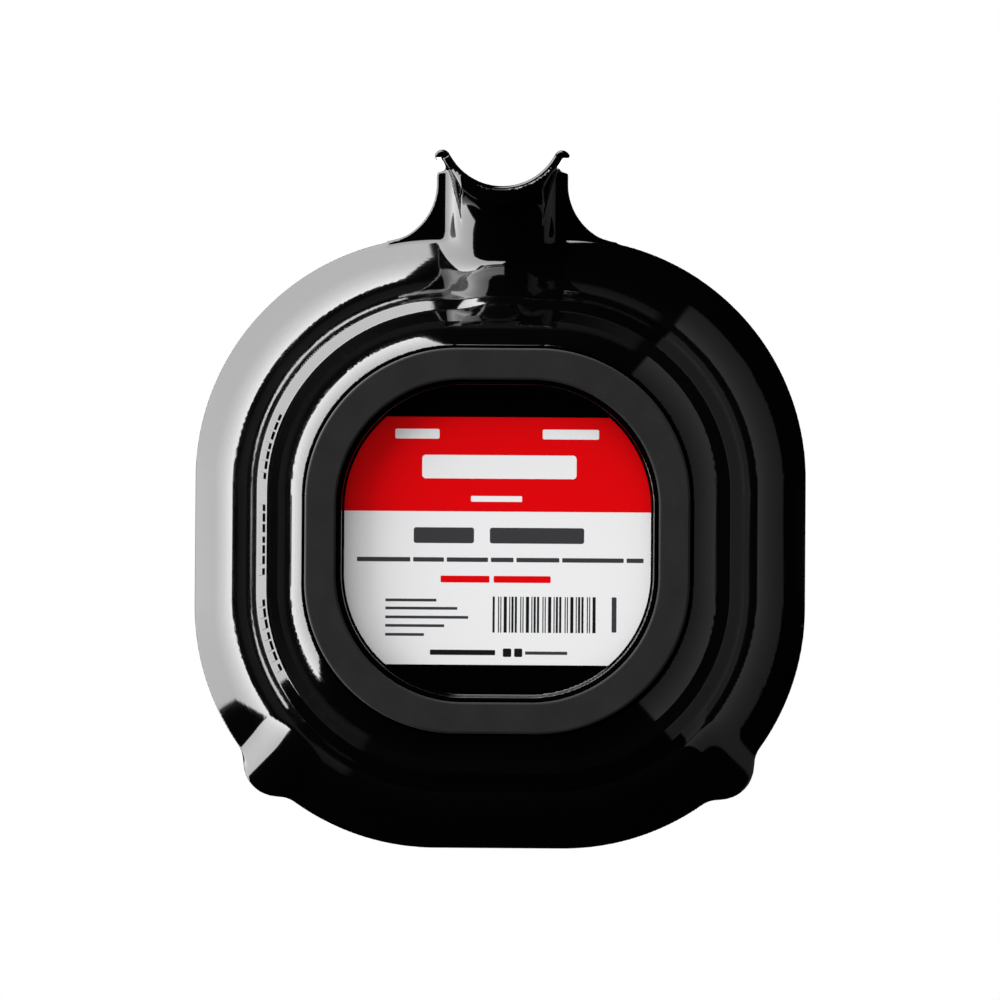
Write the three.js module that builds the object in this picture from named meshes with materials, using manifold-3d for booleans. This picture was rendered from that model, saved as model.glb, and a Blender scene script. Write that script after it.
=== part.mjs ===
// Hair colour bowl: a moulded bowl with a brush-rest handle and two pouring spouts, a rubber ring
// under its base and a printed label in the recess inside that ring.
// Millimetres, +Z up. The bowl stands open side up on its rubber ring, with its handle towards +Y.

import * as THREE from "three";
import { mergeVertices } from "three/addons/utils/BufferGeometryUtils.js";
import Module from "manifold-3d";

const wasm = await Module();
wasm.setup();

// ---- Driving dimensions ----
const height = 58;
const wall = 2;
const rimHalf = 78; // half the bowl's width across its flats, at the rim
const cornerShare = 0.79; // the corner radius of every level, as a share of its half width
const columns = 120; // facets round the bowl
const curveParts = 5; // facets along each curve of a profile

// Foot: a rubber ring in a seat, round a recess that holds the label.
const ringOuterHalf = 47.5;
const ringInnerHalf = 39.75;
const ringThickness = 4.9;
const ringGap = 0.5; // groove between the ring and the bowl's foot
const ringInnerGap = 0.35;
const glueGap = 0.1;
const recessHalf = 38.2;
const recessDepth = 5;
const recessDraft = 0.3; // how much wider the recess is at its mouth
const lipClearance = 0.8; // how far the foot stays off the table, beside the ring
const floorTop = 7.2;
const floorHalf = 50.3; // where the inner wall would meet the floor without its fillet
const floorFillet = 3.6;

// Outer wall, as points of half width and height: a curved foot, a straight lower wall, a step and
// an upper wall that flares out to the rim. A curve heads for its aim and ends at its top.
const footAim = [52, 4.8];
const footTop = [54.6, 12];
const stepFoot = [58.1, 21.8];
const stepTop = [61.2, 24.9];
const flareAim = [63.8, 42];
const flareTop = [72.5, 50.9];
const rimEdge = 1.6; // height of the rim's outer edge
const slantLift = 0.8; // a slanting wall's inner face turns this much higher than its outer face
const headroom = 4; // cutting tools run this far above the rim

// Spouts: bulges on the two corners opposite the handle, which grow towards the rim.
const spoutAngles = [-135, -45].map(THREE.MathUtils.degToRad);
const spoutReach = 3.7;
const spoutSpread = THREE.MathUtils.degToRad(7.4);
const spoutStartZ = 43;
const spoutSharpness = 0.8; // higher makes a spout narrower at its root

// Handle: a flat neck with a half-round brush channel sunk in it, closed by a curled end lip.
const neckHalf = 16.8;
const neckEnd = 94.6;
const neckFillet = 15.4;
const channelRadius = 14.5;
const channelAxisZ = 60.5;
const channelStart = [42, 22.5]; // the brush channel's centre line, as y and z
const channelStartAim = [46.1, 25.6];
const channelClimb = [48, 30.2];
const channelBend = [54.9, 46.8];
const channelBendAim = [60.7, channelAxisZ];
const channelLevel = [75.6, channelAxisZ];
const lipNotchRadius = 15.1;
const lipThickness = 2.2;
const lipNotchCentreY = 105.7;
const lipCurlX = 15.2;
const lipCurlRadius = 2.07;
const lipBottomZ = channelAxisZ - channelRadius;
const brushNotchRadius = 8.5;

// Label: a rounded square with its top and bottom cut off straight.
const labelHalf = 37.9;
const labelHalfHeight = 30.8;
const labelThickness = 0.2;

// The curl's top is the point furthest from the bowl's axis.
const lipCurlY = lipNotchCentreY - Math.sqrt((lipNotchRadius + lipCurlRadius) ** 2 - lipCurlX ** 2);
const handleReach = lipCurlY + lipCurlRadius;
const axisY = (rimHalf - handleReach) / 2; // puts the origin under the middle of the whole part

// ---- Level outline: a rounded square of half width 1 ----
function levelRadius(angle) {
  const straight = 1 - cornerShare;
  const quarter = Math.PI / 2;
  const folded = Math.abs(angle - Math.round(angle / quarter) * quarter);
  if (Math.tan(folded) <= straight) return 1 / Math.cos(folded);
  const reach = straight * (Math.cos(folded) + Math.sin(folded));
  return reach + Math.sqrt(reach ** 2 - 2 * straight ** 2 + cornerShare ** 2);
}

function spoutBulge(angle, z) {
  const rise = THREE.MathUtils.clamp((z - spoutStartZ) / (height - spoutStartZ), 0, 1);
  const offsets = spoutAngles.map((spout) => Math.abs(angle - spout) / spoutSpread);
  return spoutReach * rise * Math.exp(-(Math.min(...offsets) ** 2) * spoutSharpness);
}

// A lathe turned into a rounded square, with the spouts' bulges.
function squareLathe(profile) {
  const geometry = new THREE.LatheGeometry(profile, columns);
  geometry.rotateX(Math.PI / 2);
  const position = geometry.attributes.position;
  for (let i = 0; i < position.count; i += 1) {
    const half = Math.hypot(position.getX(i), position.getY(i));
    const angle = Math.atan2(position.getY(i), position.getX(i));
    const bulge = half > 0 ? spoutBulge(angle, position.getZ(i)) : 0;
    const reach = half * levelRadius(angle) + bulge;
    position.setXY(i, reach * Math.cos(angle), reach * Math.sin(angle));
  }
  return geometry;
}

function squareOutline(half) {
  const points = [];
  for (let i = 0; i < columns; i += 1) {
    const angle = (i / columns) * 2 * Math.PI;
    const reach = half * levelRadius(angle);
    points.push(new THREE.Vector2(reach * Math.cos(angle), reach * Math.sin(angle)));
  }
  return points;
}

// ---- Closed geometry to solid, and back ----
function toSolid(geometry) {
  const bare = geometry.clone();
  bare.deleteAttribute("normal");
  bare.deleteAttribute("uv");
  const merged = mergeVertices(bare, 1e-4);
  const corners = merged.index.array;
  const kept = [];
  for (let i = 0; i < corners.length; i += 3) {
    const [a, b, c] = corners.slice(i, i + 3);
    if (a !== b && b !== c && c !== a) kept.push(a, b, c);
  }
  const vertProperties = new Float32Array(merged.attributes.position.array);
  const mesh = new wasm.Mesh({ numProp: 3, vertProperties, triVerts: new Uint32Array(kept) });
  return new wasm.Manifold(mesh);
}

function toGeometry(solid) {
  const mesh = solid.getMesh();
  const geometry = new THREE.BufferGeometry();
  geometry.setAttribute("position", new THREE.BufferAttribute(mesh.vertProperties, 3));
  geometry.setIndex(new THREE.BufferAttribute(mesh.triVerts, 1));
  geometry.computeVertexNormals();
  return geometry;
}

// ---- Profiles of the bowl, as half width and height ----
function outerProfile() {
  const seatTop = ringThickness + glueGap;
  const seatInner = ringInnerHalf - ringInnerGap;
  const seatOuter = ringOuterHalf + ringGap;
  const path = new THREE.Path();
  path.moveTo(0, recessDepth);
  path.lineTo(recessHalf, recessDepth);
  path.lineTo(recessHalf + recessDraft, lipClearance);
  path.lineTo(seatInner, lipClearance);
  path.lineTo(seatInner, seatTop);
  path.lineTo(seatOuter, seatTop);
  path.lineTo(seatOuter, lipClearance);
  path.quadraticCurveTo(...footAim, ...footTop);
  path.lineTo(...stepFoot);
  path.lineTo(...stepTop);
  path.quadraticCurveTo(...flareAim, ...flareTop);
  path.lineTo(rimHalf, height - rimEdge);
  path.lineTo(rimHalf, height);
  path.lineTo(0, height);
  return path.getPoints(curveParts);
}

function innerProfile() {
  const above = height + headroom;
  const within = ([half, z]) => [half - wall, z + slantLift];
  const [lowerHalf, lowerZ] = within(stepFoot);
  const lean = (lowerHalf - floorHalf) / (lowerZ - floorTop);
  const path = new THREE.Path();
  path.moveTo(0, floorTop);
  path.lineTo(floorHalf - floorFillet, floorTop);
  path.quadraticCurveTo(floorHalf, floorTop, floorHalf + lean * floorFillet, floorTop + floorFillet);
  path.lineTo(lowerHalf, lowerZ);
  path.lineTo(...within(stepTop));
  path.quadraticCurveTo(...within(flareAim), ...within(flareTop));
  path.lineTo(rimHalf - wall, height);
  path.lineTo(rimHalf - wall + headroom, above);
  path.lineTo(0, above);
  return path.getPoints(curveParts);
}

// ---- Brush channel: a half-round section along a path that climbs the wall and turns outwards ----
function channelSolid(radius, end) {
  const point = ([y, z]) => new THREE.Vector3(0, y, z);
  const line = (from, to) => new THREE.LineCurve3(point(from), point(to));
  const bend = (from, aim, to) => new THREE.QuadraticBezierCurve3(point(from), point(aim), point(to));
  const path = new THREE.CurvePath();
  path.add(bend(channelStart, channelStartAim, channelClimb));
  path.add(line(channelClimb, channelBend));
  path.add(bend(channelBend, channelBendAim, channelLevel));
  path.add(line(channelLevel, [end, channelAxisZ]));
  const section = new THREE.Shape();
  section.absarc(0, 0, radius, Math.PI, 2 * Math.PI, false);
  section.closePath();
  const geometry = new THREE.ExtrudeGeometry(section, { extrudePath: path, steps: 24, curveSegments: 14 });
  return toSolid(geometry);
}

// ---- Handle neck: a flat plate that grows out of the rim through two concave fillets ----
function neckPlate() {
  const cornerCentre = rimHalf * (1 - cornerShare);
  const cornerRadius = rimHalf * cornerShare;
  const filletX = neckHalf + neckFillet;
  const span = cornerRadius + neckFillet;
  const filletY = cornerCentre + Math.sqrt(span ** 2 - (filletX - cornerCentre) ** 2);
  const lean = Math.atan2(filletY - cornerCentre, filletX - cornerCentre);
  const inside = rimHalf - 3 * wall;
  const outline = new THREE.Shape();
  outline.moveTo(-filletX, inside);
  outline.lineTo(filletX, inside);
  outline.absarc(filletX, filletY, neckFillet, lean - Math.PI, -Math.PI, true);
  outline.lineTo(neckHalf, neckEnd);
  outline.lineTo(-neckHalf, neckEnd);
  outline.absarc(-filletX, filletY, neckFillet, 0, -lean, true);
  outline.closePath();
  const plate = new THREE.ExtrudeGeometry(outline, { depth: wall, bevelEnabled: false, curveSegments: 10 });
  plate.translate(0, 0, height - wall);
  return toSolid(plate);
}

// ---- End lip: an upright wall round the end of the channel, curling outwards at both ends ----
function lipOutline() {
  const outer = lipNotchRadius + lipThickness;
  const curlLean = Math.atan2(lipCurlY - lipNotchCentreY, lipCurlX);
  const tail = lipCurlX + lipCurlRadius;
  const outline = new THREE.Shape();
  outline.moveTo(tail, lipCurlY);
  outline.absarc(lipCurlX, lipCurlY, lipCurlRadius, 0, curlLean + Math.PI, false);
  outline.absarc(0, lipNotchCentreY, lipNotchRadius, curlLean, -Math.PI - curlLean, true);
  outline.absarc(-lipCurlX, lipCurlY, lipCurlRadius, -curlLean, Math.PI, false);
  outline.absarc(0, lipNotchCentreY, outer, -Math.PI - curlLean, curlLean, false);
  outline.closePath();
  return outline;
}

function upright(radius, centreY, bottom, top) {
  const cylinder = new THREE.CylinderGeometry(radius, radius, top - bottom, 64);
  cylinder.rotateX(Math.PI / 2);
  cylinder.translate(0, centreY, (top + bottom) / 2);
  return toSolid(cylinder);
}

function endLip() {
  const wallShape = new THREE.ExtrudeGeometry(lipOutline(), {
    depth: height - lipBottomZ,
    bevelEnabled: false,
    curveSegments: 12,
  });
  wallShape.translate(0, 0, lipBottomZ);
  const notch = new THREE.CylinderGeometry(brushNotchRadius, brushNotchRadius, 2 * neckHalf, 40);
  notch.translate(0, handleReach, channelAxisZ);
  return toSolid(wallShape).subtract(toSolid(notch));
}

function bowlSolid() {
  const midLip = lipNotchRadius + lipThickness / 2;
  const sky = new THREE.BoxGeometry(4 * rimHalf, 4 * rimHalf, height);
  sky.translate(0, 0, 1.5 * height);
  const outside = toSolid(squareLathe(outerProfile()))
    .add(neckPlate())
    .add(channelSolid(channelRadius, neckEnd));
  const inside = toSolid(squareLathe(innerProfile()))
    .add(channelSolid(channelRadius - wall, neckEnd + wall));
  return outside
    .subtract(inside)
    .subtract(toSolid(sky))
    .subtract(upright(midLip, lipNotchCentreY, 0, height + 1))
    .add(endLip());
}

// ---- Rubber ring and label ----
function ringGeometry() {
  const outline = new THREE.Shape(squareOutline(ringOuterHalf));
  outline.holes.push(new THREE.Path(squareOutline(ringInnerHalf)));
  return new THREE.ExtrudeGeometry(outline, { depth: ringThickness, bevelEnabled: false });
}

function labelGeometry() {
  const clipped = squareOutline(labelHalf).filter((point) => Math.abs(point.y) <= labelHalfHeight);
  return new THREE.ExtrudeGeometry(new THREE.Shape(clipped), { depth: labelThickness, bevelEnabled: false });
}

// ---- Assembly ----
function named(name, geometry, color, roughness) {
  const material = new THREE.MeshStandardMaterial({ color, roughness, metalness: 0 });
  const mesh = new THREE.Mesh(geometry, material);
  mesh.name = name;
  mesh.position.y = axisY;
  return mesh;
}

const bowl = named("bowl_shell", toGeometry(bowlSolid()), 0x050505, 0.08);
const ring = named("non_slip_ring", ringGeometry(), 0x2b2b2b, 0.75);
const label = named("base_label", labelGeometry(), 0xf2f2f0, 0.45);
label.position.z = recessDepth - glueGap - labelThickness;

const assembly = new THREE.Group();
assembly.add(bowl, ring, label);
export default assembly;
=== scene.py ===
import math

import bmesh
import bpy
import numpy as np
from mathutils import Matrix, Vector


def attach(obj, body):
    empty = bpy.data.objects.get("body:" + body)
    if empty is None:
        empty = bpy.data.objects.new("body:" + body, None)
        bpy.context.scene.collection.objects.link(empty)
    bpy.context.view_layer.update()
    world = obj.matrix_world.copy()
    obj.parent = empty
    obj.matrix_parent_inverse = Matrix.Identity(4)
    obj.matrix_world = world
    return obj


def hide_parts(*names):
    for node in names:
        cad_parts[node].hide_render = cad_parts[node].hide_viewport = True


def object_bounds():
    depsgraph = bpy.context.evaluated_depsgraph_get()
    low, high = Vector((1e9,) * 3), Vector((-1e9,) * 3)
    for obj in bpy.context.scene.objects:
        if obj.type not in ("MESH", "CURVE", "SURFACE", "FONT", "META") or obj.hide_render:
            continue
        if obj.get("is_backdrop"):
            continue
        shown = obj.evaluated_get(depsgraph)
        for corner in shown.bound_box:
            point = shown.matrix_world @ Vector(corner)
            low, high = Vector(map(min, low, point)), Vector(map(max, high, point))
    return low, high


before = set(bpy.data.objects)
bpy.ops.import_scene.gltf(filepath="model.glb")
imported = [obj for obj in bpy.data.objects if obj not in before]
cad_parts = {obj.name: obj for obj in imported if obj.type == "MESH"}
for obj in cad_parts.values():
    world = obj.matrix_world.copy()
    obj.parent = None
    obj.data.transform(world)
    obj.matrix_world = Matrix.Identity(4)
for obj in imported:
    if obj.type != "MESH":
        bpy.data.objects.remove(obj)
cad_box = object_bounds()

# ---------------------------------------------------------------------------------------------
# Driving dimensions, in millimetres from the bowl's own axis, with the table at z = 0.
# ---------------------------------------------------------------------------------------------
HEIGHT = 58.0
WALL = 2.0
RIM_HALF = 78.0  # half the bowl's width across its flats, at the rim
CORNER_SHARE = 0.79  # the corner radius of every level, as a share of its half width
STRAIGHT_SHARE = 1.0 - CORNER_SHARE

RING_OUTER, RING_INNER, RING_THICKNESS = 47.5, 39.75, 4.9
RING_TOP_ROUND, RING_BOTTOM_ROUND = 0.3, 0.7
RING_GAP, RING_INNER_GAP, GLUE_GAP = 0.5, 0.35, 0.1
RECESS_HALF, RECESS_DEPTH, RECESS_DRAFT = 38.2, 5.0, 0.25
LIP_CLEARANCE = 0.8  # how far the foot stays off the table, beside the ring
FLOOR_TOP, FLOOR_HALF = 7.2, 50.3

FOOT_AIM, FOOT_TOP = (51.4, 4.5), (54.6, 12.0)
STEP_FOOT = (57.9, 21.6)
STEP_TOP = (60.7, 24.9)
FLARE_AIM, FLARE_TOP = (63.8, 42.0), (72.5, 50.9)
RIM_EDGE = 1.6
INNER_LIFT = 0.4 * WALL  # a slanting wall's inner face turns this much higher than its outer face

# How far each turn of the outer and the inner profile is rounded
RECESS_CORNER, RECESS_RIM, SEAT_INNER_RIM, SEAT_OUTER_RIM = 0.5, 0.4, 0.3, 0.25
FOOT_ROUND, STEP_FOOT_ROUND, STEP_TOP_ROUND, RIM_ROUND = 0.5, 1.0, 1.2, 0.5
FLOOR_ROUND, INNER_FOOT_ROUND, INNER_TOP_ROUND = 5, 3, 2

SPOUT_TIP, SPOUT_TIP_Z = 88.5, 57.0  # on the diagonal between two sides
SPOUT_ROOT_Z = 37.0
SPOUT_RADIUS = 12.0
SPOUT_LEAN = math.radians(46)  # of the spout's gutter, from upright

NECK_ROOT_Y, NECK_HALF, NECK_END, NECK_FILLET = 60.0, 16.8, 94.6, 15.4
NECK_EDGE = 0.8
CHANNEL_RADIUS, CHANNEL_AXIS_Z = 14.5, 60.5
CHANNEL_START, CHANNEL_START_AIM, CHANNEL_CLIMB = (42, 22.5), (46.1, 25.6), (48, 30.2)
CHANNEL_BEND, CHANNEL_BEND_AIM = (54.9, 46.8), (60.7, CHANNEL_AXIS_Z)
CHANNEL_LEVEL, CHANNEL_OVERRUN = (75.6, CHANNEL_AXIS_Z), 20
LIP_NOTCH_RADIUS, LIP_THICKNESS, LIP_CENTRE_Y = 15.1, 2.2, 105.7
LIP_ROOT_Y = RIM_HALF + WALL  # the lip's inner face trims only what lies beyond this
CURL_X, CURL_RADIUS, CURL_FACE = 15.2, 2.07, 0.8
CURL_REACH = 9.0  # limits how far behind the curl its cut is felt
BRUSH_NOTCH_RADIUS = 8.5
LIP_EDGE, BRUSH_NOTCH_EDGE = 1.2, 1.0

# How softly the bowl's parts run into each other, outside and then inside
SPOUT_BLEND, NECK_BLEND, CHANNEL_BLEND, LIP_BLEND = 1.8, 1.2, 3.0, 0.9
INNER_SPOUT_BLEND, INNER_CHANNEL_BLEND = 3.5, 2.0
WALL_EDGE, RIM_CUT_EDGE = 0.9, 1.4
KEEL_BLEND = 10.0  # added to LIP_BLEND under the channel, below KEEL_TOP_Z
KEEL_TOP_Z, KEEL_FADE_Z, KEEL_FADE_X = 55.0, 5.0, 4.0

LABEL_HALF, LABEL_HALF_HEIGHT, LABEL_THICKNESS, LABEL_EDGE = 37.9, 30.8, 0.2, 0.06

MARK_RISE = 0.45
MARK_EDGE = 0.6 * MARK_RISE
MARK_FROM_FOOT, MARK_FROM_TOP = 0.9, 0.8  # along the step's face
MARKS_IN_GROUP = 7
MARK_GROUPS = ((-31.0, -13.2), (-8.4, 9.6), (14.6, 30.8))  # degrees from +X
MARK_WIDE, MARK_NARROW = 0.78, 0.6  # a bar's share of its pitch; every third bar is a narrow one

ABOVE = HEIGHT + 8.0  # solids run up to here before the rim's plane cuts them
CURL_Y = LIP_CENTRE_Y - math.sqrt((LIP_NOTCH_RADIUS + CURL_RADIUS) ** 2 - CURL_X ** 2)
AXIS_Y = (RIM_HALF - (CURL_Y + CURL_RADIUS)) / 2  # the row's origin is under the middle of the box

MM = 0.001
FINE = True
CELL = 0.5 if FINE else 1.1
SHELL_FACES = 190_000


# ---------------------------------------------------------------------------------------------
# Plane curves
# ---------------------------------------------------------------------------------------------
def filleted(corners):
    """Points of an open outline whose corners are (half, z, radius), each rounded by its radius."""
    points = [np.array(corners[0][:2], float)]
    for before, here, after in zip(corners, corners[1:], corners[2:]):
        corner = np.array(here[:2], float)
        towards = np.array(before[:2], float) - corner
        onwards = np.array(after[:2], float) - corner
        room = min(np.linalg.norm(towards), np.linalg.norm(onwards)) * 0.49
        towards /= np.linalg.norm(towards)
        onwards /= np.linalg.norm(onwards)
        turn = math.pi - math.acos(float(np.clip(towards @ onwards, -1, 1)))
        if here[2] == 0 or turn < 1e-3:
            points.append(corner)
            continue
        reach = min(here[2] * math.tan(turn / 2), room)
        steps = max(3, int(math.degrees(turn) / 6))
        for t in np.linspace(0, 1, steps + 1):
            start = corner + towards * reach
            end = corner + onwards * reach
            points.append((1 - t) ** 2 * start + 2 * t * (1 - t) * corner + t ** 2 * end)
    points.append(np.array(corners[-1][:2], float))
    return np.array(points)


def bezier(start, control, end, steps):
    t = np.linspace(0, 1, steps + 1)[:, None]
    a, b, c = (np.array(p, float) for p in (start, control, end))
    return (1 - t) ** 2 * a + 2 * t * (1 - t) * b + t ** 2 * c


def outer_profile():
    seat_inner = RING_INNER - RING_INNER_GAP
    seat_outer = RING_OUTER + RING_GAP
    foot = bezier((seat_outer, LIP_CLEARANCE), FOOT_AIM, FOOT_TOP, 10)
    flare = bezier(STEP_TOP, FLARE_AIM, FLARE_TOP, 24)
    base = [
        (0, RECESS_DEPTH, 0),
        (RECESS_HALF, RECESS_DEPTH, RECESS_CORNER),
        (RECESS_HALF + RECESS_DRAFT, LIP_CLEARANCE, RECESS_RIM),
        (seat_inner, LIP_CLEARANCE, SEAT_INNER_RIM),
        (seat_inner, RECESS_DEPTH, 0),
        (seat_outer, RECESS_DEPTH, 0),
        (seat_outer, LIP_CLEARANCE, SEAT_OUTER_RIM),
        (*foot[1], 0),
    ]
    step = [
        (*foot[-2], 0),
        (*foot[-1], FOOT_ROUND),
        (*STEP_FOOT, STEP_FOOT_ROUND),
        (*STEP_TOP, STEP_TOP_ROUND),
        (*flare[2], 0),
    ]
    rim = [
        (*flare[-1], 0),
        (RIM_HALF, HEIGHT - RIM_EDGE, RIM_ROUND),
        (RIM_HALF, ABOVE, 0),
        (0, ABOVE, 0),
    ]
    return np.vstack([filleted(base), foot[2:-2], filleted(step), flare[3:-1], filleted(rim)])


def within(point):
    """The turn of the inner wall that belongs to a turn of the outer wall."""
    return (point[0] - WALL, point[1] + INNER_LIFT)


def inner_profile():
    flare = bezier(within(STEP_TOP), within(FLARE_AIM), within(FLARE_TOP), 24)
    floor = [
        (0, FLOOR_TOP, 0),
        (FLOOR_HALF, FLOOR_TOP, FLOOR_ROUND),
        (*within(STEP_FOOT), INNER_FOOT_ROUND),
        (*within(STEP_TOP), INNER_TOP_ROUND),
        (*flare[2], 0),
    ]
    rim = (RIM_HALF - WALL, HEIGHT)
    beyond = (rim[0] + (ABOVE - HEIGHT), ABOVE)
    return np.vstack([filleted(floor), flare[3:], [rim, beyond, (0, ABOVE)]])


def channel_path():
    """The brush channel's centre line as (y, z): it climbs inside the wall and turns outwards."""
    return np.vstack([
        bezier(CHANNEL_START, CHANNEL_START_AIM, CHANNEL_CLIMB, 6),
        bezier(CHANNEL_BEND, CHANNEL_BEND_AIM, CHANNEL_LEVEL, 14),
        [(NECK_END + CHANNEL_OVERRUN, CHANNEL_AXIS_Z)],
    ])


# ---------------------------------------------------------------------------------------------
# Distance fields: each is negative inside its solid
# ---------------------------------------------------------------------------------------------
def polyline_distance(u, v, points):
    nearest = np.full(u.shape, 1e9)
    for (x0, y0), (x1, y1) in zip(points[:-1], points[1:]):
        dx, dy = x1 - x0, y1 - y0
        t = np.clip(((u - x0) * dx + (v - y0) * dy) / (dx * dx + dy * dy + 1e-12), 0, 1)
        np.minimum(nearest, (u - x0 - t * dx) ** 2 + (v - y0 - t * dy) ** 2, out=nearest)
    return np.sqrt(nearest)


def polygon_inside(u, v, points):
    inside = np.zeros(u.shape, bool)
    closed = np.vstack([points, points[:1]])
    for (x0, y0), (x1, y1) in zip(closed[:-1], closed[1:]):
        if y0 == y1:
            continue
        crosses = (v >= min(y0, y1)) & (v < max(y0, y1))
        inside ^= crosses & (u < x0 + (v - y0) * (x1 - x0) / (y1 - y0))
    return inside


class Table:
    """A plane distance field sampled on a fine grid and read back between its samples."""

    def __init__(self, low, high, step, field):
        self.low, self.step = np.array(low, float), step
        counts = [int(math.ceil((h - l) / step)) + 2 for l, h in zip(low, high)]
        u, v = np.meshgrid(*(l + step * np.arange(n) for l, n in zip(low, counts)), indexing="ij")
        self.values = field(u, v)

    def __call__(self, u, v):
        a = (u - self.low[0]) / self.step
        b = (v - self.low[1]) / self.step
        i = np.clip(a.astype(int), 0, self.values.shape[0] - 2)
        j = np.clip(b.astype(int), 0, self.values.shape[1] - 2)
        fa, fb = np.clip(a - i, 0, 1), np.clip(b - j, 0, 1)
        near = self.values[i, j] * (1 - fb) + self.values[i, j + 1] * fb
        far = self.values[i + 1, j] * (1 - fb) + self.values[i + 1, j + 1] * fb
        return near * (1 - fa) + far * fa


def lathe_table(profile):
    """The signed distance to a profile that starts and ends on the axis."""
    def field(u, v):
        distance = polyline_distance(u, v, profile)
        return np.where(polygon_inside(u, v, profile), -distance, distance)
    return Table((0, -4), (100, ABOVE), 0.1, field)


def smooth_min(a, b, k):
    h = np.maximum(k - np.abs(a - b), 0) / k
    return np.minimum(a, b) - h * h * k / 4


def smooth_max(a, b, k):
    return -smooth_min(-a, -b, k)


def square_level(x, y):
    """The half width of the rounded square that passes through each point."""
    u, v = np.abs(x), np.abs(y)
    big, small = np.maximum(u, v), np.minimum(u, v)
    reach = STRAIGHT_SHARE * (u + v)
    weight = CORNER_SHARE ** 2 - 2 * STRAIGHT_SHARE ** 2
    corner = (-reach + np.sqrt(reach ** 2 + weight * (u * u + v * v))) / weight
    return np.where(small <= STRAIGHT_SHARE * big, big, corner)


def spout_field(x, y, z, radius):
    """The two spouts: round gutters that lean outwards along the diagonals away from the handle."""
    out = (np.abs(x) - y) * math.sqrt(0.5)
    side = (np.abs(x) + y) * math.sqrt(0.5)
    drop = (out - SPOUT_TIP) * math.cos(SPOUT_LEAN) - (z - SPOUT_TIP_Z) * math.sin(SPOUT_LEAN)
    return np.maximum(np.hypot(drop + SPOUT_RADIUS, side) - radius, SPOUT_ROOT_Z - z)


OUTER = lathe_table(outer_profile())
INNER = lathe_table(inner_profile())
CHANNEL = Table((20, -10), (125, 90), 0.2, lambda u, v: polyline_distance(u, v, channel_path()))


def channel_field(x, y, z, radius):
    reach = CHANNEL(y, z)
    return np.hypot(x, reach) - radius


def neck_field(x, y, z):
    """The flat neck and the two concave fillets that join it to the rim."""
    centre = RIM_HALF * STRAIGHT_SHARE
    fillet_x = NECK_HALF + NECK_FILLET
    span = RIM_HALF * CORNER_SHARE + NECK_FILLET
    fillet_y = centre + math.sqrt(span ** 2 - (fillet_x - centre) ** 2)
    touch_x = centre + (fillet_x - centre) * RIM_HALF * CORNER_SHARE / span
    across = np.abs(x)
    strip = smooth_max(across - NECK_HALF, y - NECK_END, NECK_EDGE)
    web = np.maximum(across - touch_x, y - fillet_y)
    web = np.maximum(web, NECK_FILLET - np.hypot(across - fillet_x, y - fillet_y))
    plan = np.maximum(np.minimum(strip, web), NECK_ROOT_Y - y)
    return smooth_max(plan, HEIGHT - WALL - z, NECK_EDGE)


def lip_field(x, y, z):
    """The upright end lip: a band round the notch that ends in a small outward curl."""
    across = np.abs(x)
    lean = math.atan2(CURL_Y - LIP_CENTRE_Y, CURL_X)
    from_centre = np.hypot(across, y - LIP_CENTRE_Y)
    past_curl = -math.sin(lean) * across + math.cos(lean) * (y - LIP_CENTRE_Y)
    middle = LIP_NOTCH_RADIUS + LIP_THICKNESS / 2
    band = np.maximum(np.abs(from_centre - middle) - LIP_THICKNESS / 2, past_curl)
    curl = np.hypot(across - CURL_X, y - CURL_Y) - CURL_RADIUS
    curl = np.maximum(curl, np.minimum(-past_curl, CURL_REACH))
    curl = smooth_max(curl, CURL_Y - y, CURL_FACE)
    plan = np.minimum(band, curl)
    bottom = CHANNEL_AXIS_Z - CHANNEL_RADIUS
    solid = smooth_max(plan, bottom - z, LIP_EDGE)
    notch = BRUSH_NOTCH_RADIUS - np.hypot(x, z - CHANNEL_AXIS_Z)
    return smooth_max(solid, notch, BRUSH_NOTCH_EDGE)


def outside_field(x, y, z, level):
    """Everything within the bowl's outer surface, with its spouts, neck, channel and lip."""
    solid = smooth_min(OUTER(level, z), spout_field(x, y, z, SPOUT_RADIUS), SPOUT_BLEND)
    solid = smooth_min(solid, neck_field(x, y, z), NECK_BLEND)
    solid = smooth_min(solid, channel_field(x, y, z, CHANNEL_RADIUS), CHANNEL_BLEND)
    low = np.clip((KEEL_TOP_Z - z) / KEEL_FADE_Z, 0, 1)
    under = np.clip((CHANNEL_RADIUS - np.abs(x)) / KEEL_FADE_X, 0, 1)
    blend = LIP_BLEND + KEEL_BLEND * (low * under)  # the channel's keel sweeps down to the lip
    return np.where(y > RIM_HALF, smooth_min(solid, lip_field(x, y, z), blend), solid)


def inside_field(x, y, z, level):
    """The bowl's hollow, with the insides of its spouts and its channel."""
    spouts = spout_field(x, y, z, SPOUT_RADIUS - WALL)
    hollow = smooth_min(INNER(level, z), spouts, INNER_SPOUT_BLEND)
    return smooth_min(hollow, channel_field(x, y, z, CHANNEL_RADIUS - WALL), INNER_CHANNEL_BLEND)


def bowl_field(x, y, z):
    level = square_level(x, y)
    solid = smooth_max(outside_field(x, y, z, level), -inside_field(x, y, z, level), WALL_EDGE)
    past_lip = LIP_NOTCH_RADIUS + LIP_THICKNESS / 2 - np.hypot(x, y - LIP_CENTRE_Y)
    solid = np.where(y > LIP_ROOT_Y, np.maximum(solid, past_lip), solid)
    solid = np.where(y > RIM_HALF, np.minimum(solid, lip_field(x, y, z)), solid)
    return smooth_max(solid, z - HEIGHT, RIM_CUT_EDGE)


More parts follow.
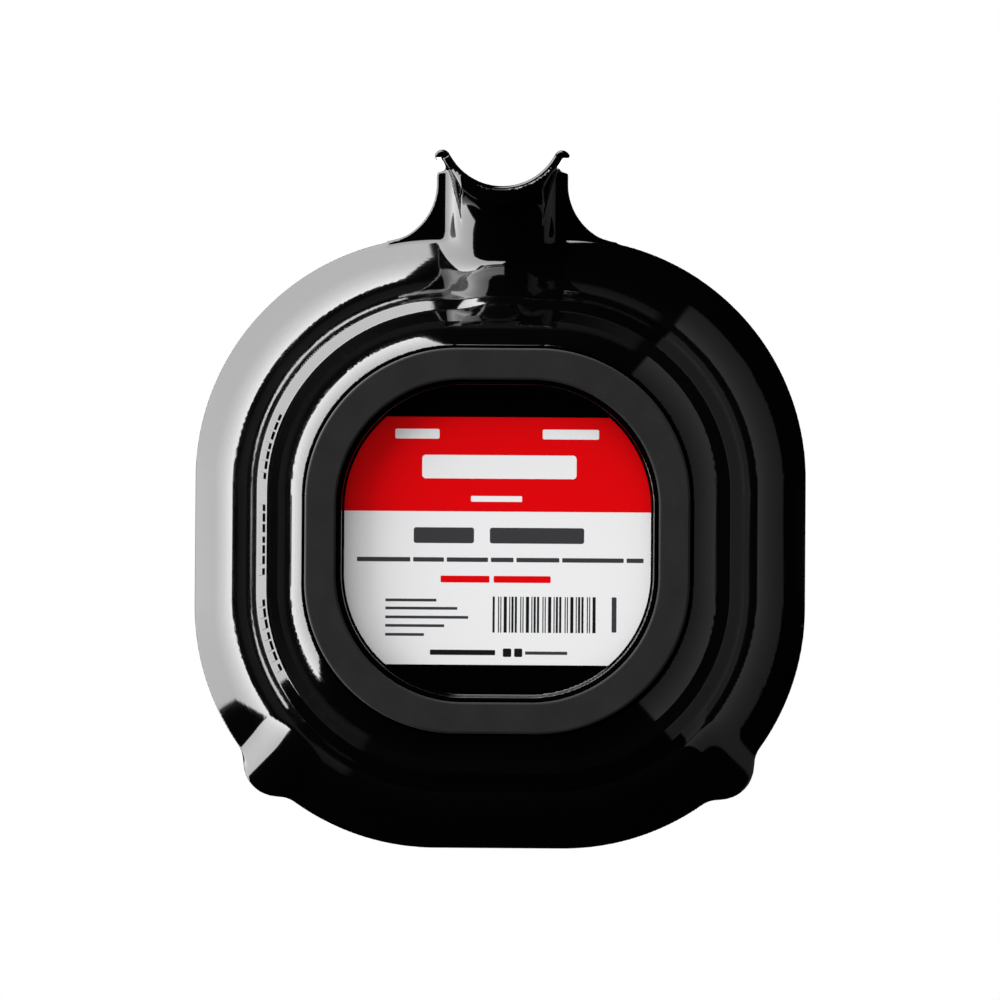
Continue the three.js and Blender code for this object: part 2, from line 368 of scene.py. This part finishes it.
# ---------------------------------------------------------------------------------------------
# From field to mesh: surface nets, then every point is moved onto the surface
# ---------------------------------------------------------------------------------------------
def sample_field(field, low, high, cell):
    """The field on a regular grid; far from the surface only its sign is right."""
    block = 4
    counts = [int(math.ceil((h - l) / (cell * block))) * block for l, h in zip(low, high)]
    middles = [l + cell * (block * np.arange(n // block) + (block - 1) / 2) for l, n in zip(low, counts)]
    coarse = field(*np.meshgrid(*middles, indexing="ij"))
    values = np.repeat(np.repeat(np.repeat(coarse, block, 0), block, 1), block, 2)
    near = np.argwhere(np.abs(coarse) < cell * block * 1.6)
    offsets = np.stack(np.meshgrid(*[np.arange(block)] * 3, indexing="ij"), -1).reshape(-1, 3)
    index = (near[:, None, :] * block + offsets).reshape(-1, 3)
    points = np.array(low) + cell * index
    values[index[:, 0], index[:, 1], index[:, 2]] = field(points[:, 0], points[:, 1], points[:, 2])
    return values


def surface_nets(values, low, cell):
    """One point in each cell that the surface crosses, and one quad for each crossed edge."""
    inside = values < 0
    corners = [(i, j, k) for i in (0, 1) for j in (0, 1) for k in (0, 1)]
    size = [n - 1 for n in values.shape]

    def corner(array, offset):
        i, j, k = offset
        return array[i:i + size[0], j:j + size[1], k:k + size[2]]

    count = sum(corner(inside, offset).astype(np.int8) for offset in corners)
    cells = np.argwhere((count > 0) & (count < 8))
    number = np.full(size, -1, np.int32)
    number[tuple(cells.T)] = np.arange(len(cells))
    total = np.zeros((len(cells), 3))
    crossings = np.zeros(len(cells))
    quads = []
    for axis in range(3):
        step = np.eye(3, dtype=int)[axis]
        others = [a for a in range(3) if a != axis]
        for first in (0, 1):
            for second in (0, 1):
                base = np.zeros(3, int)
                base[others[0]], base[others[1]] = first, second
                start = cells + base
                a = values[tuple(start.T)]
                b = values[tuple((start + step).T)]
                crossed = (a < 0) != (b < 0)
                t = np.where(crossed, a / np.where(crossed, a - b, 1), 0)
                total += crossed[:, None] * (start + t[:, None] * step)
                crossings += crossed
        lower = [slice(0, n) for n in values.shape]
        upper = [slice(0, n) for n in values.shape]
        lower[axis], upper[axis] = slice(0, -1), slice(1, None)
        edges = np.argwhere(inside[tuple(lower)] != inside[tuple(upper)])
        keep = np.all([(edges[:, o] > 0) & (edges[:, o] < size[o]) for o in others], axis=0)
        edges = edges[keep]
        around = []
        for first, second in ((0, 0), (1, 0), (1, 1), (0, 1)):
            back = np.zeros(3, int)
            back[others[0]], back[others[1]] = first, second
            around.append(number[tuple((edges - back).T)])
        quad = np.stack(around, 1)
        flip = inside[tuple(edges.T)] == (axis == 1)
        quad[flip] = quad[flip][:, ::-1]
        quads.append(quad)
    points = np.array(low) + cell * total / crossings[:, None]
    return points, np.vstack(quads)


def field_gradient(field, points, step=0.12):
    gradient = np.zeros_like(points)
    for axis in range(3):
        shift = np.zeros(3)
        shift[axis] = step
        ahead, behind = (points + shift).T, (points - shift).T
        gradient[:, axis] = (field(*ahead) - field(*behind)) / (2 * step)
    return gradient


def settle(field, points, cell, rounds=3):
    """Moves each point along the field's gradient until it lies on the surface."""
    for _ in range(rounds):
        gradient = field_gradient(field, points)
        length = np.maximum((gradient ** 2).sum(1), 0.2)
        move = -(field(*points.T) / length)[:, None] * gradient
        reach = np.maximum(np.linalg.norm(move, axis=1) / (0.5 * cell), 1)
        points = points + move / reach[:, None]
    return points


def field_mesh(name, field, low, high, cell, faces):
    values = sample_field(field, low, high, cell)
    points, quads = surface_nets(values, low, cell)
    points = settle(field, points, cell)
    mesh = bpy.data.meshes.new(name)
    mesh.from_pydata(points.tolist(), [], quads.tolist())
    piece = bpy.data.objects.new(name, mesh)
    bpy.context.scene.collection.objects.link(piece)
    if 2 * len(quads) > faces:
        thin = piece.modifiers.new("thin", "DECIMATE")
        thin.ratio = faces / (2 * len(quads))
        graph = bpy.context.evaluated_depsgraph_get()
        piece.data = bpy.data.meshes.new_from_object(piece.evaluated_get(graph))
        piece.modifiers.clear()
    mesh = piece.data
    flat = np.empty(len(mesh.vertices) * 3)
    mesh.vertices.foreach_get("co", flat)
    points = settle(field, flat.reshape(-1, 3), cell, 1)
    normals = field_gradient(field, points)
    normals /= np.linalg.norm(normals, axis=1)[:, None]
    points = (points + (0, AXIS_Y, 0)) * MM
    mesh.vertices.foreach_set("co", points.ravel())
    mesh.polygons.foreach_set("use_smooth", [True] * len(mesh.polygons))
    mesh.update()
    mesh.normals_split_custom_set_from_vertices(normals.tolist())
    return piece


# ---------------------------------------------------------------------------------------------
# Pieces made along a rounded square
# ---------------------------------------------------------------------------------------------
def level_radius(angle):
    """Distance from the axis to the rounded square of half width 1, at each angle."""
    x, y = np.cos(angle), np.sin(angle)
    return 1 / square_level(x, y)


def link_mesh(name, points, faces, smooth=True):
    mesh = bpy.data.meshes.new(name)
    mesh.from_pydata((np.asarray(points) * MM + (0, AXIS_Y * MM, 0)).tolist(), [], faces)
    mesh.polygons.foreach_set("use_smooth", [smooth] * len(mesh.polygons))
    mesh.update()
    piece = bpy.data.objects.new(name, mesh)
    bpy.context.scene.collection.objects.link(piece)
    return piece


def grid_faces(first, rows, count, closed):
    """Quads between rows of points, each row a loop of the same count, from point number first."""
    faces = []
    for i in range(rows if closed else rows - 1):
        here, there = first + i * count, first + (i + 1) % rows * count
        for j in range(count):
            k = (j + 1) % count
            faces.append((here + j, there + j, there + k, here + k))
    return faces


def sweep_square(name, profile, columns=360):
    """A closed profile of (half, z) points carried round the rounded square."""
    angles = np.linspace(0, 2 * math.pi, columns, endpoint=False)
    reach = level_radius(angles)[:, None] * profile[None, :, 0]
    points = np.stack([
        reach * np.cos(angles)[:, None],
        reach * np.sin(angles)[:, None],
        np.broadcast_to(profile[None, :, 1], reach.shape),
    ], -1).reshape(-1, 3)
    return link_mesh(name, points, grid_faces(0, columns, len(profile), True))


def flat_normals(piece):
    """Keeps broad faces flat beside their small rounded edges."""
    modifier = piece.modifiers.new("flat_faces", "WEIGHTED_NORMAL")
    modifier.weight = 100
    modifier.keep_sharp = False


def ring_piece():
    middle = ((RING_INNER + RING_OUTER) / 2, RING_THICKNESS, 0)
    corners = [
        middle,
        (RING_INNER, RING_THICKNESS, RING_TOP_ROUND),
        (RING_INNER, 0, RING_BOTTOM_ROUND),
        (RING_OUTER, 0, RING_BOTTOM_ROUND),
        (RING_OUTER, RING_THICKNESS, RING_TOP_ROUND),
        middle,
    ]
    profile = filleted(corners)[:-1]
    ring = sweep_square("rubber_ring", profile)
    flat_normals(ring)
    return ring


def mark_profile():
    """A raised bar's section as (half, z): it stands on the step's slanting face and is set into it."""
    foot, top = np.array(STEP_FOOT), np.array(STEP_TOP)
    along = (top - foot) / np.linalg.norm(top - foot)
    outwards = np.array((along[1], -along[0]))
    low, high = foot + along * MARK_FROM_FOOT, top - along * MARK_FROM_TOP
    return np.array([
        low - outwards * MARK_RISE,
        low + outwards * (MARK_RISE - MARK_EDGE),
        low + along * MARK_EDGE + outwards * MARK_RISE,
        high - along * MARK_EDGE + outwards * MARK_RISE,
        high + outwards * (MARK_RISE - MARK_EDGE),
        high - outwards * MARK_RISE,
    ])


def mark_spans():
    """Where each bar starts and ends, in degrees from +X."""
    for start, end in MARK_GROUPS:
        pitch = (end - start) / MARKS_IN_GROUP
        for bar in range(MARKS_IN_GROUP):
            width = pitch * (MARK_WIDE if bar % 3 else MARK_NARROW)
            yield start + bar * pitch, start + bar * pitch + width


def side_marks():
    """Three groups of small raised bars on the step's slanting face, on the side towards +X."""
    profile = mark_profile()
    count = len(profile)
    points, faces = [], []
    for start, end in mark_spans():
        angles = np.radians(np.linspace(start, end, 5))
        first = len(points)
        for angle in angles:
            reach = profile[:, 0] * level_radius(angle)
            for r, z in zip(reach, profile[:, 1]):
                points.append((r * math.cos(angle), r * math.sin(angle), z))
        faces.extend(grid_faces(first, len(angles), count, False))
        faces.append(tuple(range(first, first + count)))
        faces.append(tuple(reversed(range(len(points) - count, len(points)))))
    return link_mesh("side_marks", points, faces, smooth=False)


def label_piece():
    """A die-cut sheet: a rounded square with its top and bottom cut off straight."""
    angles = np.linspace(0, 2 * math.pi, 720, endpoint=False)
    reach = LABEL_HALF * level_radius(angles)
    x, y = reach * np.cos(angles), reach * np.sin(angles)
    kept = np.abs(y) <= LABEL_HALF_HEIGHT
    outline = np.stack([x[kept], y[kept]], 1)
    top = RECESS_DEPTH - GLUE_GAP
    bottom = top - LABEL_THICKNESS
    levels = ((0, top), (0, bottom + LABEL_EDGE), (LABEL_EDGE, bottom))
    points = []
    count = len(outline)
    for inset, z in levels:
        shrunk = outline - inset * outline / np.linalg.norm(outline, axis=1)[:, None]
        points.extend((px, py, z) for px, py in shrunk)
    faces = grid_faces(0, len(levels), count, False)
    faces.append(tuple(range(count)))
    faces.append(tuple(reversed(range((len(levels) - 1) * count, len(levels) * count))))
    return link_mesh("base_sticker", points, faces, smooth=False)


# ---------------------------------------------------------------------------------------------
# Materials
# ---------------------------------------------------------------------------------------------
def node(tree, kind, inputs=None, **settings):
    """A new node with its settings, and each input linked to a socket or set to a value."""
    made = tree.nodes.new(kind)
    for key, value in settings.items():
        setattr(made, key, value)
    for key, value in (inputs or {}).items():
        if isinstance(value, bpy.types.NodeSocket):
            tree.links.new(value, made.inputs[key])
        else:
            made.inputs[key].default_value = value
    return made


def maths(tree, operation, *values):
    return node(tree, "ShaderNodeMath", dict(enumerate(values)), operation=operation).outputs[0]


def new_material(name, **constants):
    """A material with one Principled shader whose constant inputs are set on its own sockets."""
    material = bpy.data.materials.new(name)
    material.use_nodes = True
    tree = material.node_tree
    tree.nodes.clear()
    shader = node(tree, "ShaderNodeBsdfPrincipled", constants)
    output = node(tree, "ShaderNodeOutputMaterial")
    tree.links.new(shader.outputs["BSDF"], output.inputs["Surface"])
    return material, tree, shader


def object_noise(tree, scale, detail=3.0, roughness=0.5):
    place = node(tree, "ShaderNodeTexCoord").outputs["Object"]
    inputs = {"Vector": place, "Scale": scale, "Detail": detail, "Roughness": roughness}
    return node(tree, "ShaderNodeTexNoise", inputs).outputs["Fac"]


def between(tree, factor, low, high):
    inputs = {"Value": factor, "From Min": 0.3, "From Max": 0.7, "To Min": low, "To Max": high}
    return node(tree, "ShaderNodeMapRange", inputs).outputs["Result"]


def mixed(tree, factor, first, second):
    made = node(tree, "ShaderNodeMix", {"Factor": factor}, data_type="RGBA")
    for socket, value in ((made.inputs[6], first), (made.inputs[7], second)):
        if isinstance(value, bpy.types.NodeSocket):
            tree.links.new(value, socket)
        else:
            socket.default_value = value
    return made.outputs[2]


def bumped(tree, height, distance, strength=1.0, below=None):
    inputs = {"Height": height, "Distance": distance, "Strength": strength}
    if below is not None:
        inputs["Normal"] = below
    return node(tree, "ShaderNodeBump", inputs).outputs["Normal"]


def grey(value):
    return (value, value, value, 1)


def gloss_plastic():
    """Injection-moulded gloss black: a slow waviness, a fine orange peel and a faint uneven haze."""
    material, tree, shader = new_material("gloss_black_plastic", **{"IOR": 1.5})
    tone = object_noise(tree, 30, 2)
    colour = mixed(tree, between(tree, tone, 0, 1), grey(0.0003), grey(0.0006))
    tree.links.new(colour, shader.inputs["Base Color"])
    haze = object_noise(tree, 70, 5, 0.6)
    tree.links.new(between(tree, haze, 0.045, 0.085), shader.inputs["Roughness"])
    waves = bumped(tree, object_noise(tree, 45, 1), 0.06 * MM)
    peel = bumped(tree, object_noise(tree, 1100, 1), 0.0012 * MM, below=waves)
    tree.links.new(peel, shader.inputs["Normal"])
    return material


def matte_rubber():
    """Soft matte rubber: a fine stippled skin with slightly uneven tone."""
    material, tree, shader = new_material("matte_rubber", **{"IOR": 1.45})
    tone = object_noise(tree, 110, 4, 0.6)
    colour = mixed(tree, between(tree, tone, 0, 1), grey(0.009), grey(0.012))
    tree.links.new(colour, shader.inputs["Base Color"])
    tree.links.new(between(tree, tone, 0.62, 0.74), shader.inputs["Roughness"])
    grain = bumped(tree, object_noise(tree, 2600, 2), 0.03 * MM)
    tree.links.new(grain, shader.inputs["Normal"])
    return material


def bar_group():
    """A node group: how much of a rounded bar with soft edges covers a point."""
    tree = bpy.data.node_groups.new("soft_bar", "ShaderNodeTree")
    kinds = {"Point": "Vector", "Centre": "Vector", "Half": "Vector", "Round": "Float", "Soft": "Float"}
    for name, kind in kinds.items():
        tree.interface.new_socket(name, in_out="INPUT", socket_type="NodeSocket" + kind)
    tree.interface.new_socket("Cover", in_out="OUTPUT", socket_type="NodeSocketFloat")
    given = node(tree, "NodeGroupInput").outputs

    def vector(operation, *values):
        made = node(tree, "ShaderNodeVectorMath", dict(enumerate(values)), operation=operation)
        return made.outputs["Value"] if operation == "LENGTH" else made.outputs["Vector"]

    away = vector("ABSOLUTE", vector("SUBTRACT", given["Point"], given["Centre"]))
    corner = vector("SUBTRACT", away, given["Half"])
    shrunk = vector("ADD", corner, given["Round"])
    reach = vector("LENGTH", vector("MAXIMUM", shrunk, (0, 0, 0)))
    distance = maths(tree, "SUBTRACT", reach, given["Round"])
    cover = node(tree, "ShaderNodeMapRange", {
        "Value": distance, "From Min": given["Soft"], "From Max": 0.0, "To Min": 0.0, "To Max": 1.0,
    }).outputs["Result"]
    output = node(tree, "NodeGroupOutput")
    tree.links.new(cover, output.inputs["Cover"])
    return tree


def soft_bar(tree, group, point, across, up, soft, round_share):
    """A bar from across[0] to across[1] and up[0] to up[1], whose edge fades over the width soft."""
    half = [(high - low - soft) / 2 for low, high in (across, up)]
    return node(tree, "ShaderNodeGroup", {
        "Point": point,
        "Centre": (sum(across) / 2, sum(up) / 2, 0),
        "Half": (*half, 1),
        "Round": min(half) * round_share,
        "Soft": soft,
    }, node_tree=group).outputs["Cover"]


INK_SPREAD, BAR_ROUND = 0.1, 0.3
INK_GREY = (0.045, 0.045, 0.05, 1)
INK_RED = (0.75, 0.0012, 0.0032, 1)
INK_BLACK = grey(0.01)
PAPER_WHITE = (0.86, 0.86, 0.87, 1)

# The print, in millimetres across and up from the label's middle. A bar is (left, right, bottom, top).
RED_HEAD = (-50, 50, 7.26, 50)
WHITE_BARS = (
    (-25.4, -14.5, 25.2, 27.6),
    (11, 24.9, 25.2, 27.6),
    (-18.7, 19.4, 15.4, 21.2),
    (-6.6, 6.0, 9.7, 11.1),
)
TITLE_BARS = ((-20.7, -5.8, -0.6, 3.3), (-1.9, 21.4, -0.6, 3.3))
SENTENCE_LEFT, SENTENCE_BOTTOM, SENTENCE_TOP = -34.7, -5.2, -4.1
SENTENCE_WIDTHS, SENTENCE_GAP = (13.2, 7.6, 10.2, 5.6, 10.6, 15.2, 4.2), 0.7
NOTE_BARS = ((-14.0, -1.9, -10.3, -8.6), (-0.9, 13.2, -10.3, -8.6))
SMALL_LINES_LEFT, SMALL_LINE_HALF = -27.6, 0.35
SMALL_LINES = ((-15.0, -14.7), (-9.8, -16.7), (-7.1, -18.9), (-13.0, -21.0), (-18.0, -23.2))  # right, middle
EDGE_BARS = ((28.3, 29.5, -22.4, -13.7), (7.0, 17.4, -28.0, -27.2))
STRIPES_LEFT, STRIPES_RIGHT, STRIPES_BOTTOM, STRIPES_TOP = -1.1, 23.6, -22.6, -13.7
STRIPE_WIDTHS = (0.55, 0.28, 0.28, 0.8, 0.28, 0.55)
FOOTER_BARS = ((-16.5, -0.4, -28.2, -26.9), (1.5, 3.6, -28.6, -26.5), (4.3, 6.3, -28.6, -26.5))


def sentence_bars():
    """A row of bars with the lengths of a sentence's words."""
    left = SENTENCE_LEFT
    for width in SENTENCE_WIDTHS:
        yield left, left + width, SENTENCE_BOTTOM, SENTENCE_TOP
        left += width + SENTENCE_GAP


def small_line_bars():
    for right, middle in SMALL_LINES:
        yield SMALL_LINES_LEFT, right, middle - SMALL_LINE_HALF, middle + SMALL_LINE_HALF


def stripes():
    """A regular pattern of wide and narrow upright stripes, which encodes nothing."""
    left, turn = STRIPES_LEFT, 0
    while left < STRIPES_RIGHT:
        width = STRIPE_WIDTHS[turn % len(STRIPE_WIDTHS)]
        yield left, left + width, STRIPES_BOTTOM, STRIPES_TOP
        left += width + STRIPE_WIDTHS[(turn + 3) % len(STRIPE_WIDTHS)]
        turn += 1


def printed_label():
    """Coated paper with a red head over white, and rows of plain bars where lettering would be."""
    constants = {"Roughness": 0.38, "Specular IOR Level": 0.04}
    material, tree, shader = new_material("printed_paper", **constants)
    place = node(tree, "ShaderNodeTexCoord").outputs["Object"]
    xyz = node(tree, "ShaderNodeSeparateXYZ", {"Vector": place}).outputs
    across = maths(tree, "MULTIPLY", xyz["X"], -1 / MM)
    up = maths(tree, "SUBTRACT", maths(tree, "MULTIPLY", xyz["Y"], 1 / MM), AXIS_Y)
    point = node(tree, "ShaderNodeCombineXYZ", {"X": across, "Y": up}).outputs["Vector"]
    group = bar_group()

    def printed(colour, ink, rounded=(), square=()):
        """The colour with a layer of bars printed over it."""
        total = None
        for bars, round_share in ((square, 0), (rounded, BAR_ROUND)):
            for left, right, bottom, top in bars:
                cover = soft_bar(tree, group, point, (left, right), (bottom, top), INK_SPREAD, round_share)
                total = cover if total is None else maths(tree, "MAXIMUM", total, cover)
        return mixed(tree, total, colour, ink)

    colour = printed(PAPER_WHITE, INK_RED, square=[RED_HEAD])
    colour = printed(colour, PAPER_WHITE, WHITE_BARS)
    colour = printed(colour, INK_GREY, [*TITLE_BARS, *sentence_bars(), *small_line_bars(), *EDGE_BARS])
    colour = printed(colour, INK_RED, NOTE_BARS)
    colour = printed(colour, INK_BLACK, FOOTER_BARS, stripes())
    fibres = object_noise(tree, 1500, 3)
    toned = node(tree, "ShaderNodeMix", {"Factor": 0.05}, data_type="RGBA", blend_type="MULTIPLY")
    tree.links.new(colour, toned.inputs[6])
    tree.links.new(between(tree, fibres, 0.8, 1.0), toned.inputs[7])
    tree.links.new(toned.outputs[2], shader.inputs["Base Color"])
    tree.links.new(bumped(tree, fibres, 0.004 * MM), shader.inputs["Normal"])
    return material


# ---------------------------------------------------------------------------------------------
# Stage, light and camera
# ---------------------------------------------------------------------------------------------
STAGE_HALF, STAGE_DROP = 4.0, 0.0005  # in metres: half the floor's side, and how far it is below z = 0

EVEN_LIGHT = 0.006  # seen by every ray except the camera's
EVEN_DIFFUSE_LIGHT = 0.45  # seen by diffuse rays as well
LIGHT_PANELS = (
    # azimuth from +X towards +Y, elevation, lean of the sides, radiance, softness of the edge
    ((-26, 88), (-28, 29.6), 0.35, 8.7, 0.5),
    ((125, 230), (5, 43), 0.0, 0.19, 0.7),
    ((-60, 120), (38, 52), 0.0, 0.04, 3.0),
)
PANEL_ROUND = 0.1

CAMERA_PLACE = (-19.825, -23.092, -1487.0)  # in millimetres, in the shared frame
CAMERA_LEAN_X, CAMERA_LEAN_Y, CAMERA_ROLL = (math.radians(turn) for turn in (0.7403, 0.8581, 0.4))
CAMERA_LENS, CAMERA_SENSOR = 217.5, 36  # in millimetres


def pale_floor():
    """A floor that is seen from above only, because the camera looks up at the base from below."""
    mesh = bpy.data.meshes.new("floor")
    corners = [(-1, -1), (1, -1), (1, 1), (-1, 1)]
    mesh.from_pydata([(x * STAGE_HALF, y * STAGE_HALF, -STAGE_DROP) for x, y in corners], [], [(0, 1, 2, 3)])
    floor = bpy.data.objects.new("floor", mesh)
    bpy.context.scene.collection.objects.link(floor)
    material = bpy.data.materials.new("pale_floor")
    material.use_nodes = True
    tree = material.node_tree
    tree.nodes.clear()
    surface = node(tree, "ShaderNodeBsdfDiffuse", {"Color": grey(0.8)}).outputs["BSDF"]
    clear = node(tree, "ShaderNodeBsdfTransparent").outputs["BSDF"]
    behind = node(tree, "ShaderNodeNewGeometry").outputs["Backfacing"]
    shown = node(tree, "ShaderNodeMixShader", {0: behind, 1: surface, 2: clear}).outputs["Shader"]
    tree.links.new(shown, node(tree, "ShaderNodeOutputMaterial").inputs["Surface"])
    mesh.materials.append(material)
    floor.visible_glossy = False
    floor.visible_diffuse = False
    floor.visible_shadow = False
    floor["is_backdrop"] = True


def studio_world():
    """White to the camera. Elsewhere it is dark, with soft panels given by their direction in degrees."""
    world = bpy.data.worlds.new("studio")
    bpy.context.scene.world = world
    world.use_nodes = True
    tree = world.node_tree
    tree.nodes.clear()
    direction = node(tree, "ShaderNodeTexCoord").outputs["Generated"]
    xyz = node(tree, "ShaderNodeSeparateXYZ", {"Vector": direction}).outputs
    turn = maths(tree, "DEGREES", maths(tree, "ARCTAN2", xyz["Y"], xyz["X"]))
    rise = maths(tree, "DEGREES", maths(tree, "ARCSINE", xyz["Z"]))
    group = bar_group()
    light = EVEN_LIGHT
    for azimuths, elevations, lean, radiance, soft in LIGHT_PANELS:
        middle = sum(azimuths) / 2
        folded = maths(tree, "WRAP", maths(tree, "SUBTRACT", turn, middle), 180.0, -180.0)
        leaning = maths(tree, "MULTIPLY_ADD", rise, lean, folded)
        point = node(tree, "ShaderNodeCombineXYZ", {"X": leaning, "Y": rise}).outputs["Vector"]
        span = [edge - middle for edge in azimuths]
        cover = soft_bar(tree, group, point, span, elevations, soft, PANEL_ROUND)
        light = maths(tree, "MULTIPLY_ADD", cover, radiance, light)
    rays = node(tree, "ShaderNodeLightPath").outputs
    light = maths(tree, "MULTIPLY_ADD", rays["Is Diffuse Ray"], EVEN_DIFFUSE_LIGHT, light)
    lit = node(tree, "ShaderNodeBackground", {"Color": grey(1), "Strength": light}).outputs[0]
    white = node(tree, "ShaderNodeBackground", {"Color": grey(1), "Strength": 1.0}).outputs[0]
    shares = {0: rays["Is Camera Ray"], 1: lit, 2: white}
    seen = node(tree, "ShaderNodeMixShader", shares).outputs[0]
    tree.links.new(seen, node(tree, "ShaderNodeOutputWorld").inputs["Surface"])


def softbox(name, azimuth, elevation, distance, width, height, radiance):
    """A rectangular light aimed at the bowl. Azimuth runs from +X towards +Y; radiance sets its look."""
    turn, rise = math.radians(azimuth), math.radians(elevation)
    away = Vector((math.cos(turn) * math.cos(rise), math.sin(turn) * math.cos(rise), math.sin(rise)))
    light = bpy.data.lights.new(name, "AREA")
    light.shape = "RECTANGLE"
    light.size, light.size_y = width, height
    light.energy = radiance * math.pi * width * height
    lamp = bpy.data.objects.new(name, light)
    bpy.context.scene.collection.objects.link(lamp)
    target = Vector((0, AXIS_Y * MM, HEIGHT * MM / 2))
    facing = away.to_track_quat("Z", "Y").to_matrix().to_4x4()
    lamp.matrix_world = Matrix.Translation(target + away * distance) @ facing
    lamp.visible_camera = False
    return lamp


def photographer():
    """The camera under the bowl, looking up at its base with the handle at the top of the view."""
    forward = Vector((math.sin(CAMERA_LEAN_X), math.sin(CAMERA_LEAN_Y), 0))
    forward.z = math.sqrt(1 - forward.length_squared)
    level_right = forward.cross(Vector((0, 1, 0))).normalized()
    level_up = level_right.cross(forward)
    right = level_right * math.cos(CAMERA_ROLL) + level_up * math.sin(CAMERA_ROLL)
    up = level_up * math.cos(CAMERA_ROLL) - level_right * math.sin(CAMERA_ROLL)
    data = bpy.data.cameras.new("camera")
    data.sensor_width = CAMERA_SENSOR
    data.lens = CAMERA_LENS
    data.clip_start, data.clip_end = 0.05, 50
    camera = bpy.data.objects.new("camera", data)
    bpy.context.scene.collection.objects.link(camera)
    aim = Matrix((right, up, -forward)).transposed().to_4x4()
    camera.matrix_world = Matrix.Translation(Vector(CAMERA_PLACE) * MM) @ aim
    bpy.context.scene.camera = camera


# ---------------------------------------------------------------------------------------------
# Assembly
# ---------------------------------------------------------------------------------------------
def add_piece(piece, material, node_name):
    piece.data.materials.clear()
    piece.data.materials.append(material)
    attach(piece, "root")
    if node_name:
        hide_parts(node_name)


margin = 2.0  # round the bowl; the y side starts a little further off
shell_low = (-RIM_HALF - margin, -RIM_HALF - 3 * margin, -margin)
shell_high = (RIM_HALF + margin, CURL_Y + CURL_RADIUS + margin, HEIGHT + margin)
shell = field_mesh("bowl_body", bowl_field, shell_low, shell_high, CELL, SHELL_FACES)
add_piece(shell, gloss_plastic(), "bowl_shell")
add_piece(ring_piece(), matte_rubber(), "non_slip_ring")
add_piece(label_piece(), printed_label(), "base_label")
add_piece(side_marks(), shell.data.materials[0], None)

pale_floor()
studio_world()
softbox("overhead", azimuth=200, elevation=80, distance=1.4, width=1.0, height=0.7, radiance=2.5)
photographer()
bpy.context.scene.view_settings.view_transform = "Standard"

boxes = {"cad": cad_box, "visual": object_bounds()}
{key: [list(corner) for corner in box] for key, box in boxes.items()}
